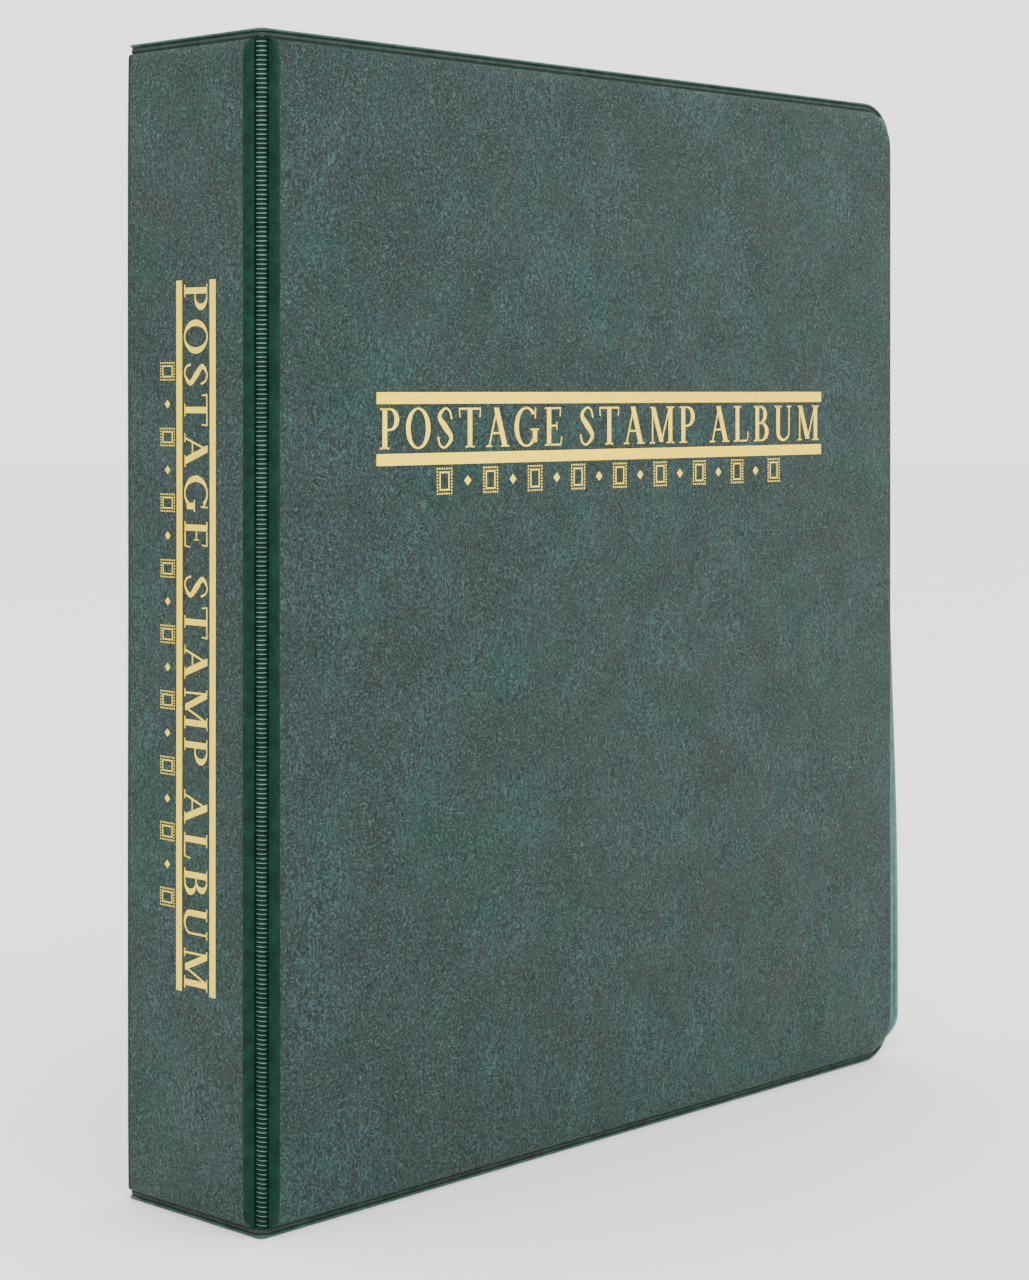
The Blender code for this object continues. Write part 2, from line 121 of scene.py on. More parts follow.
# Crease between the spine and a cover: a round corner with a column of pressed ribs.
CREASE_REACH = 7.1 * MM
CREASE_RADIUS = 2.0 * MM
CREASE_GAUGE = 0.6 * MM
CREASE_SINK = 0.18 * MM
STRIP_BELOW = 0.03 * MM
RIB_PITCH = 1.12 * MM
RIB_RISE = 0.36 * MM
RIB_HALF = 0.56
RIB_FADE = 0.10
RIB_SPREAD = 0.1
STRIP_SHOULDER = 0.16
RIB_MARGIN = 1.9 * MM
RIB_ARCH = 1.6 * MM
RIB_COLUMNS = 10
RIB_SLANT = 0.39
RIB_SLANT_TOP = 0.55
# Shares of a rib's pitch: where it rises and falls, its rows of points, and where lighter vinyl paints a
# highlight.
RIB_UP = (0.20, 0.38)
RIB_DOWN = (0.72, 0.90)
RIB_PHASES = (0.0, 0.20, 0.29, 0.38, 0.55, 0.72, 0.81, 0.90)
RIB_LIT = (0.55, 0.81)

# Gold foil. On the cover, places are measured from the panel's edge and up from the base. On the spine
# it reads downwards: they are measured down from the base, and from the edge by the back cover.
# A row of stamps is its start, length, base and height; its other sizes are shares of that height.
FOIL_LIFT = 0.03 * MM
COVER_ART = {
    "bar_start": 38.6 * MM - HINGE_EDGE,
    "bar_length": 182.1 * MM,
    "bars": (185.7 * MM, 201.2 * MM),
    "bar_width": 2.95 * MM,
    "title_base": 189.9 * MM,
    "caps": 10.2 * MM,
    "row": (58.3 * MM - HINGE_EDGE, 144.0 * MM, 178.2 * MM, 6.4 * MM),
}
SPINE_ART = {
    "bar_start": -231.7 * MM,
    "bar_length": 175.2 * MM,
    "bars": (18.5 * MM, 31.1 * MM),
    "bar_width": 2.2 * MM,
    "title_base": 21.6 * MM,
    "caps": 8.6 * MM,
    "row": (-213.4 * MM, 138.5 * MM, 12.4 * MM, 5.2 * MM),
}
TITLE = "POSTAGE STAMP ALBUM"
TITLE_MARGIN = 0.1
LETTER_GAP = 0.20
WORD_GAP = 0.42
STAMPS = 9
STAMP_WIDE = 0.8
STAMP_TOOTH = 1 / 15
STAMP_INNER = 0.12
STAMP_LINE = 0.06
LOZENGE_HALF = 0.2

# Ring mechanism and pages.
WIRE_RADIUS = 1.75 * MM
WIRE_STEPS = 28
WIRE_START = 0.1 * MM
WIRE_END = 0.7
RING_RADIUS = 13.5 * MM
RING_HEIGHT = 23.0 * MM
SPLIT = math.radians(145)
SPLIT_GAP = math.radians(1.0)
BOW_UPPER = 13.1 * MM
BOW_LOWER = 11.0 * MM
BOW_SWAY = 2.0 * MM
# Rivets: the head's dome and how far it sinks into the cover, the shank, and the rolled end.
RIVET_DOME = 0.9 * MM
RIVET_SUNK = 0.5 * MM
RIVET_SHANK = 1.9 * MM
RIVET_NECK = 0.9 * MM
RIVET_ROLL = 2.9 * MM
ROLL_TALL = 0.6 * MM
ROLL_EASE = 0.5 * MM
RIVET_TURNS = [math.radians(15 * step) for step in range(1, 7)]
PAGE_SHEETS = 10
SHEET_SHARE = 0.8
PAGE_PLAY = 0.22 * MM
HOLE_RADIUS = 4.2 * MM
HOLE_STRETCH = 1.2 * MM
HOLE_FROM_POST = 1.9 * MM
# Printing: margins round the frames, their share of a cell, lines, and rules above and below.
PRINT_LEFT = 30 * MM
PRINT_RIGHT = 12 * MM
PRINT_BASE = 20 * MM
PRINT_TOP = 28 * MM
FRAME_SHARE = (0.62, 0.70)
PRINT_LINE = 0.35 * MM
PRINT_LIFT = 0.02 * MM
HEAD_RULE = 9 * MM
HEAD_WIDTH = 1.1 * MM
FOOT_RULE = 8 * MM


# --- Small mesh helpers ---


def smooth_step(low, high, value):
    """Ease from 0 at low to 1 at high."""
    t = min(max((value - low) / (high - low), 0.0), 1.0)
    return t * t * (3 - 2 * t)


def add_object(name, data):
    """Put a new object in the scene."""
    made = bpy.data.objects.new(name, data)
    bpy.context.scene.collection.objects.link(made)
    return made


def new_piece(name, vertices, faces, materials, smooth=True):
    """Make a mesh object from points and faces."""
    mesh = bpy.data.meshes.new(name)
    mesh.from_pydata([tuple(v) for v in vertices], [], faces)
    mesh.validate()
    for one in materials:
        mesh.materials.append(one)
    if smooth:
        mesh.shade_smooth()
    return add_object(name, mesh)


def grid_faces(rows, columns, closed=False):
    """Quads between the rows of points of a grid; a closed grid also joins its last column to its first."""
    faces = []
    for row in range(rows - 1):
        low, high = row * columns, (row + 1) * columns
        for column in range(columns if closed else columns - 1):
            following = (column + 1) % columns
            faces.append((low + column, low + following, high + following, high + column))
    return faces


def face_outward(piece):
    """Merge points that coincide, and turn the faces of a closed piece outwards."""
    bm = bmesh.new()
    bm.from_mesh(piece.data)
    bmesh.ops.remove_doubles(bm, verts=bm.verts, dist=0.001 * MM)
    bmesh.ops.recalc_face_normals(bm, faces=bm.faces)
    bm.to_mesh(piece.data)
    bm.free()


def apply_modifiers(piece):
    """Replace a piece's mesh by what its modifiers make of it."""
    graph = bpy.context.evaluated_depsgraph_get()
    graph.update()
    mesh = bpy.data.meshes.new_from_object(piece.evaluated_get(graph))
    piece.modifiers.clear()
    piece.data = mesh
    return piece


def keep_rest_place(piece):
    """Store where each point is at rest, for a material that has to bend with the piece."""
    attribute = piece.data.attributes.new(REST_PLACE, "FLOAT_VECTOR", "POINT")
    for vertex, stored in zip(piece.data.vertices, attribute.data):
        stored.vector = vertex.co


def thicken(piece, gauge, rim_offset=0):
    """Give a sheet its thickness on the side away from its normals."""
    shell = piece.modifiers.new("gauge", "SOLIDIFY")
    shell.thickness = gauge
    shell.offset = -1
    shell.material_offset_rim = rim_offset
    return apply_modifiers(piece)


def orient(piece, towards):
    """Turn the faces so that most of them look along a direction."""
    total = sum(polygon.area * polygon.normal.dot(towards) for polygon in piece.data.polygons)
    if total < 0:
        piece.data.flip_normals()
    return piece


# --- Materials ---


class Graph:
    """A material's node tree, with short calls for the nodes that this file uses."""

    def __init__(self, name):
        self.material = bpy.data.materials.new(name)
        self.material.use_nodes = True
        self.tree = self.material.node_tree
        self.shader = self.tree.nodes["Principled BSDF"]

    def node(self, kind, inputs=None, **settings):
        """Add a node; inputs are values or other nodes' output sockets."""
        made = self.tree.nodes.new("ShaderNode" + kind)
        for key, value in settings.items():
            setattr(made, key, value)
        for key, value in (inputs or {}).items():
            self.plug(made.inputs[key], value)
        return made

    def plug(self, socket, value):
        """Link an output socket, or set a plain value; colours are given without their alpha."""
        if isinstance(value, bpy.types.NodeSocket):
            self.tree.links.new(value, socket)
        elif socket.type == "RGBA":
            socket.default_value = (*value, 1.0)
        else:
            socket.default_value = value

    def place(self):
        """Texture coordinates in metres, fixed to the piece."""
        return self.node("TexCoord").outputs["Object"]

    def noise(self, vector, scale, detail=3.0, roughness=0.55, distortion=0.0):
        """Noise value from 0 to 1."""
        settings = {"Vector": vector, "Scale": scale, "Detail": detail}
        settings |= {"Roughness": roughness, "Distortion": distortion}
        return self.node("TexNoise", settings).outputs["Fac"]

    def shifted(self, vector, scale, amount):
        """The coordinates pushed about by noise."""
        push = self.node("TexNoise", {"Vector": vector, "Scale": scale, "Detail": 2.0})
        middle = {0: push.outputs["Color"], 1: (0.5, 0.5, 0.5)}
        centred = self.node("VectorMath", middle, operation="SUBTRACT")
        scaled = self.node("VectorMath", {0: centred.outputs[0], "Scale": amount}, operation="SCALE")
        return self.node("VectorMath", {0: vector, 1: scaled.outputs[0]}, operation="ADD").outputs[0]

    def cells(self, vector, scale):
        """Distance to the nearest border of a cell network."""
        return self.node(
            "TexVoronoi", {"Vector": vector, "Scale": scale}, feature="DISTANCE_TO_EDGE"
        ).outputs["Distance"]

    def streaks(self, vector, turn, scale):
        """Thin winding lines along one direction: the middle values of stretched noise."""
        inputs = {"Vector": vector, "Rotation": turn, "Scale": scale}
        value = self.noise(self.node("Mapping", inputs).outputs[0], 1.0, 3.0, 0.6)
        centred = self.math("ABSOLUTE", self.math("SUBTRACT", value, 0.5), 0.0)
        return self.ramp(centred, 0.0, 0.035, 1.0, 0.0)

    def ramp(self, value, low, high, out_low=0.0, out_high=1.0):
        """Remap a value smoothly."""
        inputs = {0: value, 1: low, 2: high, 3: out_low, 4: out_high}
        return self.node("MapRange", inputs, interpolation_type="SMOOTHSTEP").outputs[0]

    def math(self, operation, a, b):
        """One math step."""
        return self.node("Math", {0: a, 1: b}, operation=operation).outputs[0]

    def mix(self, factor, a, b):
        """Mix two colours."""
        made = self.node("Mix", {0: factor, 6: a, 7: b}, data_type="RGBA")
        return made.outputs[2]

    def bump(self, height, strength, distance):
        """Normals from a height."""
        inputs = {"Height": height, "Strength": strength, "Distance": distance}
        return self.node("Bump", inputs).outputs["Normal"]

    def finish(self, **inputs):
        """Set the shader's inputs, by name with _ for spaces."""
        for key, value in inputs.items():
            self.plug(self.shader.inputs[key.replace("_", " ")], value)
        return self.material


def leatherette():
    """Dark green vinyl: a fine wrinkled grain that runs in streaks, with teal patches."""
    g = Graph("leatherette")
    place = g.place()
    patch = g.ramp(g.noise(place, 30, 4.0, 0.6, 0.5), 0.42, 0.68)
    dark = g.mix(patch, (0.011, 0.018, 0.017), (0.007, 0.024, 0.019))
    wander = g.shifted(g.shifted(place, 60, 8.0 * MM), 500, 1.3 * MM)
    where = g.ramp(g.noise(place, 26, 2.0), 0.44, 0.56)
    leaning = g.streaks(wander, (0.7, 0.6, 0.0), (700.0, 700.0, 170.0))
    crossing = g.streaks(wander, (-0.9, -0.8, 0.0), (700.0, 700.0, 170.0))
    leaning = g.math("MULTIPLY", leaning, where)
    crossing = g.math("MULTIPLY", crossing, g.math("SUBTRACT", 1.0, where))
    streak = g.math("ADD", leaning, crossing)
    strength = g.ramp(g.noise(place, 40, 2.0), 0.36, 0.66, 0.12, 0.85)
    tone = g.mix(g.math("MULTIPLY", streak, strength), dark, (0.024, 0.088, 0.071))
    grain = g.noise(wander, 1700, 4.0, 0.80)
    tone = g.mix(g.ramp(grain, 0.50, 0.65, 0.0, 0.85), tone, (0.050, 0.094, 0.084))
    tone = g.mix(g.ramp(grain, 0.36, 0.49, 0.88, 0.0), tone, (0.001, 0.004, 0.004))
    relief = g.math("SUBTRACT", grain, g.math("MULTIPLY", streak, 0.35))
    rough = g.ramp(g.noise(place, 75, 3.0), 0.3, 0.7, 0.42, 0.56)
    normal = g.bump(relief, 1.0, 0.18 * MM)
    return g.finish(Base_Color=tone, Roughness=rough, Normal=normal, Specular_IOR_Level=0.13)


def pressed_vinyl(name, base, light, rough, shine, attribute=None):
    """Vinyl flattened by the welding die, with faint grain; the rib copy's colour is a painted highlight
    and the dark copies' colour is partly painted shade; a bending piece keeps its rest place.
    """
    g = Graph(name)
    place = g.place()
    if attribute:
        place = g.node("Attribute", attribute_name=attribute).outputs["Vector"]
    mottle = g.ramp(g.noise(place, 300, 4.0, 0.65), 0.3, 0.75)
    tone = g.mix(mottle, base, light)
    grain = g.noise(g.shifted(place, 700, 0.8 * MM), 1500, 3.0, 0.6)
    normal = g.bump(grain, 0.5, 0.06 * MM)
    roughness = g.ramp(grain, 0.3, 0.7, rough - 0.06, rough + 0.08)
    return g.finish(Base_Color=tone, Roughness=roughness, Normal=normal, Specular_IOR_Level=shine)


def lining_vinyl():
    """Inner vinyl: a finer, more even grain than the outside."""
    g = Graph("lining_vinyl")
    place = g.place()
    cells = g.cells(g.shifted(place, 900, 0.4 * MM), 1700)
    pebble = g.ramp(cells, 0.02, 0.25)
    mottle = g.ramp(g.noise(place, 40, 3.0), 0.35, 0.7)
    tone = g.mix(mottle, (0.013, 0.031, 0.026), (0.016, 0.038, 0.032))
    normal = g.bump(pebble, 0.35, 0.04 * MM)
    rough = g.ramp(g.noise(place, 160, 2.0), 0.3, 0.7, 0.42, 0.55)
    return g.finish(Base_Color=tone, Roughness=rough, Normal=normal, Specular_IOR_Level=0.20)


def gold_foil():
    """Hot-stamped foil: yellow gold, with pinholes where the grain shows through."""
    g = Graph("gold_foil")
    place = g.place()
    speckle = g.noise(place, 1500, 4.0, 0.75)
    hole = g.ramp(speckle, 0.60, 0.66)
    wear = g.ramp(g.noise(place, 260, 2.0), 0.35, 0.7, 0.0, 0.25)
    tone = g.mix(wear, (0.88, 0.63, 0.008), (0.76, 0.52, 0.006))
    tone = g.mix(hole, tone, (0.08, 0.08, 0.03))
    metal = g.ramp(hole, 0.2, 0.8, 0.85, 0.0)
    normal = g.bump(g.cells(g.shifted(place, 420, 1.3 * MM), 950), 0.15, 0.04 * MM)
    rough = g.ramp(speckle, 0.3, 0.7, 0.34, 0.46)
    return g.finish(Base_Color=tone, Metallic=metal, Roughness=rough, Normal=normal)


def raw_edge():
    """Cut edge of the welded sheets: beige core showing through the green."""
    g = Graph("raw_edge")
    place = g.place()
    patch = g.ramp(g.noise(place, 420, 4.0, 0.65), 0.36, 0.60)
    tone = g.mix(patch, (0.060, 0.085, 0.070), (0.42, 0.34, 0.27))
    normal = g.bump(g.noise(place, 2400, 3.0), 0.5, 0.06 * MM)
    return g.finish(Base_Color=tone, Roughness=0.62, Normal=normal)


def chipboard():
    """Grey-brown board with fibres and flecks."""
    g = Graph("chipboard")
    place = g.place()
    fibre = g.noise(g.shifted(place, 90, 6 * MM), 700, 5.0, 0.7)
    fleck = g.ramp(g.noise(place, 1900, 2.0), 0.62, 0.68)
    tone = g.mix(fibre, (0.25, 0.20, 0.15), (0.38, 0.32, 0.25))
    tone = g.mix(fleck, tone, (0.14, 0.11, 0.08))
    return g.finish(Base_Color=tone, Roughness=0.9, Normal=g.bump(fibre, 0.4, 0.1 * MM))


def nickel():
    """Bright nickel plate with faint draw lines and finger haze."""
    g = Graph("nickel")
    place = g.place()
    haze = g.ramp(g.noise(place, 140, 4.0, 0.6), 0.35, 0.7)
    drawn = g.node("Mapping", {"Vector": place, "Scale": (900.0, 900.0, 60.0)}).outputs[0]
    lines = g.noise(drawn, 1.0, 3.0, 0.6)
    tone = g.mix(haze, (0.46, 0.45, 0.43), (0.38, 0.37, 0.35))
    rough = g.ramp(haze, 0.0, 1.0, 0.16, 0.30)
    return g.finish(
        Base_Color=tone, Metallic=1.0, Roughness=rough, Normal=g.bump(lines, 0.06, 0.02 * MM)
    )


def paper():
    """Cream album paper with soft fibres."""
    g = Graph("paper")
    place = g.place()
    cloud = g.noise(place, 55, 4.0, 0.6)
    fibre = g.noise(g.shifted(place, 400, 2 * MM), 1800, 4.0, 0.7)
    tone = g.mix(g.ramp(cloud, 0.3, 0.7), (0.62, 0.58, 0.47), (0.68, 0.65, 0.55))
    tone = g.mix(g.ramp(fibre, 0.55, 0.75, 0.0, 0.25), tone, (0.52, 0.48, 0.38))
    normal = g.bump(fibre, 0.25, 0.03 * MM)
    return g.finish(Base_Color=tone, Roughness=0.82, Normal=normal, Specular_IOR_Level=0.3)


def print_ink():
    """Grey-green printing ink, slightly uneven."""
    g = Graph("print_ink")
    patch = g.ramp(g.noise(g.place(), 900, 3.0), 0.3, 0.8)
    tone = g.mix(patch, (0.05, 0.08, 0.065), (0.10, 0.14, 0.12))
    return g.finish(Base_Color=tone, Roughness=0.7)


def floor_paint():
    """Pale studio floor, almost plain."""
    g = Graph("floor_paint")
    cloud = g.noise(g.place(), 6, 2.0)
    tone = g.mix(cloud, (0.90, 0.90, 0.90), (0.93, 0.93, 0.93))
    return g.finish(Base_Color=tone, Roughness=0.75)


LEATHERETTE = leatherette()
RIM = pressed_vinyl("rim_vinyl", (0.010, 0.034, 0.025), (0.026, 0.066, 0.050), 0.40, 0.22)
FORE_VINYL = pressed_vinyl("fore_vinyl", (0.034, 0.096, 0.080), (0.066, 0.160, 0.138), 0.34, 0.40)
WELD_BAND = pressed_vinyl("weld_band", (0.010, 0.017, 0.014), (0.030, 0.034, 0.029), 0.48, 0.14)
# Very dark vinyl: by the hinge it is the pressed vinyl's own darker green together with painted shade of
# the recess; in the flange's groove and at the foot of each panel's wall it is painted shade.
GUTTER_AND_SHADE = pressed_vinyl("gutter_vinyl_and_shade", (0.002, 0.014, 0.008), (0.004, 0.028, 0.016), 0.30, 0.06)
# Very dark vinyl of the crease's band: the pressed vinyl's own darker green together with painted shade of
# the recess; under each rib and between the ribs it is painted shade.
CREASE_AND_SHADE = pressed_vinyl(
    "crease_vinyl", (0.001, 0.010, 0.005), (0.003, 0.018, 0.010), 0.32, 0.06, REST_PLACE
)
# Lighter vinyl on the ribs' upper faces: a painted highlight.
RIB_HIGHLIGHT = pressed_vinyl(
    "rib_highlight_vinyl", (0.060, 0.130, 0.105), (0.130, 0.230, 0.195), 0.24, 0.50, REST_PLACE
)
LINING = lining_vinyl()
RAW_EDGE = raw_edge()
GOLD = gold_foil()
CHIPBOARD = chipboard()
NICKEL = nickel()
PAPER = paper()
INK = print_ink()


# --- Panels ---


def weld_profile(inset):
    """Depth of the pressed flange at a distance in from its cut edge: rim, groove, flat band, foot."""
    rim = math.sin(math.pi * min(inset / RIM_WIDTH, 1.0)) * RIM_RISE
    groove = GROOVE_DEPTH * math.exp(-(((inset - GROOVE_PLACE) / GROOVE_SPREAD) ** 2))
    drop = FOOT_DROP * smooth_step(FLANGE - FOOT_RUN, FLANGE, inset)
    return WELD_DEPTH - rim + groove + drop


def shoulder_profile(inset, shoulder, run):
    """Depth below the face at a distance in from the foot of a panel's wall."""
    if inset < WALL_RUN:
        return FOOT_DEPTH + (shoulder - FOOT_DEPTH) * inset / WALL_RUN
    across = min((inset - WALL_RUN) / run, 1.0)
    return shoulder * (1 - math.sqrt(max(1 - (1 - across) ** 2, 0.0)))


def face_swell(x, z, width):
    """How far the padded face stands below its highest level: a slight crown and soft waves."""
    to_side = min(x, width - x)
    to_end = min(z, HEIGHT - z)
    flat = smooth_step(0, CROWN_REACH, to_side) + smooth_step(0, CROWN_REACH, to_end)
    crown = CROWN * (2 - flat) / 2
    wave = math.sin(x * 61 + 1.3) * math.sin(z * 47 + 0.4) + math.sin(x * 23 - z * 31)
    return crown + WAVE * (2 + wave)


def stations(length, near, far):
    """Grid lines: the given distances from each end, and even steps between."""
    low, high = near[-1], length - far[-1]
    steps = max(int((high - low) / GRID_STEP), 1)
    middle = [low + (high - low) * i / steps for i in range(1, steps)]
    return list(near) + middle + [length - distance for distance in reversed(far)]


def mm_list(*values):
    """Several lengths in millimetres."""
    return [value * MM for value in values]


WELDED_STATIONS = mm_list(
    0, 0.19, 0.38, 0.56, 0.75, 0.9, 1.0, 1.1, 1.3, 1.8, 2.1, 2.4, 2.5, 2.65, 2.8, 3.0, 3.25, 3.6, 4.1, 4.7,
    5.4, 6.2, 7.2, 9, 11, 13.2, 16, 20, 25
)
HINGE_STATIONS = mm_list(
    0, 0.08, 0.16, 0.25, 0.4, 0.6, 0.85, 1.15, 1.45, 1.75, 2.05, 2.6, 3.4, 4.6, 6.5, 9, 13, 19
)


def fore_corner(side, end):
    """Carry a point of a square corner, by its insets, into the round fore corner."""
    a, b = FORE_RADIUS - side, FORE_RADIUS - end
    if min(a, b) <= 0:
        return side, end
    reach = max(a, b)
    turn = math.pi / 4 * (b / a) if a >= b else math.pi / 2 - math.pi / 4 * (a / b)
    return FORE_RADIUS - reach * math.cos(turn), FORE_RADIUS - reach * math.sin(turn)


def cusp(end):
    """How far the gutter's edge runs in towards the crease, where its top and bottom are rounded."""
    up = end - FLANGE
    if up >= CUSP:
        return 0.0
    up = max(up, 0.0)
    return CUSP - math.sqrt(CUSP**2 - (CUSP - up) ** 2)


def fore_bend(name, z):
    """Angle by which the fore flange has curled out of its plane, by height."""
    if name == "front":
        return FRONT_BEND + FRONT_CURL * smooth_step(CURL_START, CURL_END, z)
    return BACK_SWAY * math.sin(z * BACK_SWAY_RATE)


def curl(name, x, z, depth, width):
    """Swing the fore flange about its root."""
    root = width - FORE_FLANGE
    reach = x - root
    if reach <= 0:
        return x, depth
    angle = fore_bend(name, z)
    above = WELD_DEPTH - depth
    return (
        root + reach * math.cos(angle) - above * math.sin(angle),
        WELD_DEPTH - above * math.cos(angle) - reach * math.sin(angle),
    )


def skin_depth(side, end, fore):
    """Depth of the outer skin, from the insets from its side and its end."""
    lift = FLANGE if fore else 0.0
    if end < FLANGE or side < lift:
        return weld_profile(min(end, side) if fore else end)
    to_end = smooth_step(-CORNER_BLEND, CORNER_BLEND, side - lift - (end - FLANGE))
    shoulder = HINGE_SHOULDER + (END_SHOULDER - HINGE_SHOULDER) * to_end
    side_run = FORE_RUN if fore else HINGE_RUN
    run = side_run + (END_RUN - side_run) * to_end
    from_side = shoulder_profile(side - lift, shoulder, side_run)
    from_end = shoulder_profile(end - FLANGE, END_SHOULDER, END_RUN)
    if fore:
        return shoulder_profile(min(side, end) - FLANGE, shoulder, run)
    return max(from_side, from_end)


def lining_depth(side, end, fore):
    """Depth of the inner lining: flat over the board, pressed in along the weld."""
    inset = min(side, end) if fore else end
    pressed = 1 - smooth_step(FLANGE + PRESS_RUN[0], FLANGE + PRESS_RUN[1], inset)
    return PANEL_THICKNESS + LINING_PROUD + (LINING_PRESSED - PANEL_THICKNESS) * pressed


def panel_grid(name, width, fore, depth_of):
    """Points (x, depth, z) of one sheet of a panel, its faces, and each point's insets from the edges."""
    extra = FORE_FLANGE - FLANGE if fore else 0.0
    span = width - extra
    columns = stations(span, HINGE_STATIONS, WELDED_STATIONS if fore else HINGE_STATIONS)
    rows = stations(HEIGHT, WELDED_STATIONS, WELDED_STATIONS)
    points, insets = [], []
    for up in rows:
        end = min(up, HEIGHT - up)
        for across in columns:
            outer = across > span / 2
            side = span - across if outer else across
            fore_side = fore and outer
            depth = depth_of(side, end, fore_side)
            place_side, place_end = side, end
            if fore_side:
                place_side, place_end = fore_corner(side, end)
                place_side += extra * (min(place_side / FLANGE, 1.0) - 1.0)
            else:
                by_hinge = 1 - smooth_step(0, HINGE_FADE, side)
                place_side -= HINGE_OVERHANG * by_hinge
                place_side -= cusp(end) * min(side / GUTTER_EDGE, 1.0) * by_hinge
            x = span - place_side if outer else place_side
            z = place_end if up < HEIGHT / 2 else HEIGHT - place_end
            face = 1 - min(depth / END_SHOULDER, 1.0)
            depth += face_swell(x, z, width) * face
            if fore_side:
                x, depth = curl(name, x, z, depth, width)
            points.append((x, depth, z))
            insets.append((side, end, fore_side))
    return points, grid_faces(len(rows), len(columns)), insets


PANELS = {
    "front": (COVER_WIDTH, True, Matrix.Translation((SPINE_X + HINGE_EDGE, FRONT_Y, 0)), "front_cover"),
    "spine": (
        SPINE_WIDTH,
        False,
        Matrix.Translation((SPINE_X, BACK_Y - HINGE_EDGE, 0)) @ Matrix.Rotation(-math.pi / 2, 4, "Z"),
        "spine",
    ),
    "back": (
        COVER_WIDTH,
        True,
        Matrix.Translation((SPINE_X + HINGE_EDGE, BACK_Y, HEIGHT)) @ Matrix.Rotation(math.pi, 4, "X"),
        "back_cover",
    ),
}


def skin_look(side, end, fore, z):
    """The skin's material at a place, by the insets from the side and the end of its panel."""
    if fore and side < FORE_TURN * end:
        return FORE_VINYL if side < FLANGE + WALL_RUN else LEATHERETTE
    if end < CUT_WIDTH and z < MID_Z:
        return RAW_EDGE
    # Painted shade: the dark vinyl in the flange's groove and at the foot of the wall under the padded
    # face.
    if abs(end - GROOVE_PLACE) < GROOVE_SPREAD or FLANGE - FOOT_WIDTH < end < FLANGE + WALL_RUN:
        return GUTTER_AND_SHADE
    if end < FLANGE:
        return WELD_BAND if end > GROOVE_PLACE else RIM
    # By the hinge the dark vinyl is the pressed colour together with painted shade of the recess.
    return GUTTER_AND_SHADE if side < GUTTER_EDGE and not fore else LEATHERETTE


def colour_skin(piece, insets, materials):
    """Give each face of a skin the material of its place."""
    for polygon in piece.data.polygons:
        corners = [insets[i] for i in polygon.vertices]
        side, end = (sum(corner[i] for corner in corners) / len(corners) for i in (0, 1))
        look = skin_look(side, end, corners[0][2], polygon.center.z)
        polygon.material_index = materials.index(look)


def panel_sheet(name, layer, depth_of, materials):
    """Make one sheet of a panel in its place; its rim gets the second material."""
    width, fore, matrix, _ = PANELS[name]
    points, faces, insets = panel_grid(name, width, fore, depth_of)
    placed = [matrix @ Vector(point) for point in points]
    piece = new_piece(f"{name}_{layer}_sheet", placed, faces, materials)
    if layer == "skin":
        colour_skin(piece, insets, materials)
    orient(piece, matrix.to_3x3() @ Vector((0, -1 if layer == "skin" else 1, 0)))
    return thicken(piece, SKIN_GAUGE, 1)


def case_panels():
    """The outer skin and the lining of each panel."""
    for name, (_, _, _, body) in PANELS.items():
        looks = (LEATHERETTE, RIM, RAW_EDGE, WELD_BAND, GUTTER_AND_SHADE, FORE_VINYL)
        skin = panel_sheet(name, "skin", skin_depth, looks)
        lining = panel_sheet(name, "lining", lining_depth, (LINING, RAW_EDGE))
        for piece, node, slot in ((skin, "skin", "leatherette"), (lining, "liner", "liner_vinyl")):
            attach(piece, body)
            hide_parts(f"{name}_{node}")


def boards():
    """The chipboard inside each panel, with eased edges."""
    for name, (width, fore, matrix, body) in PANELS.items():
        points = []
        for ease, depth in BOARD_EDGE:
            near, end = BOARD_INSET + ease, BOARD_INSET + FLANGE + ease
            far = width - near - (FORE_FLANGE if fore else 0.0)
            corners = ((near, end), (far, end), (far, HEIGHT - end), (near, HEIGHT - end))
            points += [matrix @ Vector((x, depth, z)) for x, z in corners]
        faces = [(3, 2, 1, 0)] + grid_faces(len(BOARD_EDGE), 4, closed=True)
        faces.append(tuple(range(len(points) - 4, len(points))))
        piece = new_piece(f"{name}_card", points, faces, (CHIPBOARD,), smooth=False)
        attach(piece, body)
        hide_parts(f"{name}_board")


# --- Creases ---


def crease_section(share):
    """Point and outward direction on the crease's corner; 0 and 1 are the ends of the round."""
    centre = WELD_DEPTH + CREASE_RADIUS
    turn = math.pi / 2 * min(max(share, 0.0), 1.0)
    out = Vector((-math.sin(turn), -math.cos(turn)))
    point = Vector((centre, centre)) + out * CREASE_RADIUS
    arc = math.pi / 2 * CREASE_RADIUS
    if share < 0:
        point.x -= share * arc
    if share > 1:
        point.y += (share - 1) * arc
    return point, out


def crease_grid(name, shares, rows, rise, materials, corner_y, inward):
    """Sweep the crease's section up; rise gives the height above the weld plane at (share, row)."""
    points = []
    for row in rows:
        for share in shares:
            point, out = crease_section(share)
            lift, z = rise(share, row)
            spot = point + out * lift
            points.append((SPINE_X + spot.x, corner_y + inward * spot.y, z))
    piece = new_piece(name, points, grid_faces(len(rows), len(shares)), materials)
    orient(piece, Vector((-1, -inward, 0)))
    return piece


def strip_rise(_, z):
    """The welded strip: rim and groove at the ends, sunk a little between."""
    inset = min(z, HEIGHT - z)
    if inset < FLANGE:
        return WELD_DEPTH - weld_profile(inset) - STRIP_BELOW, z
    return -CREASE_SINK, z


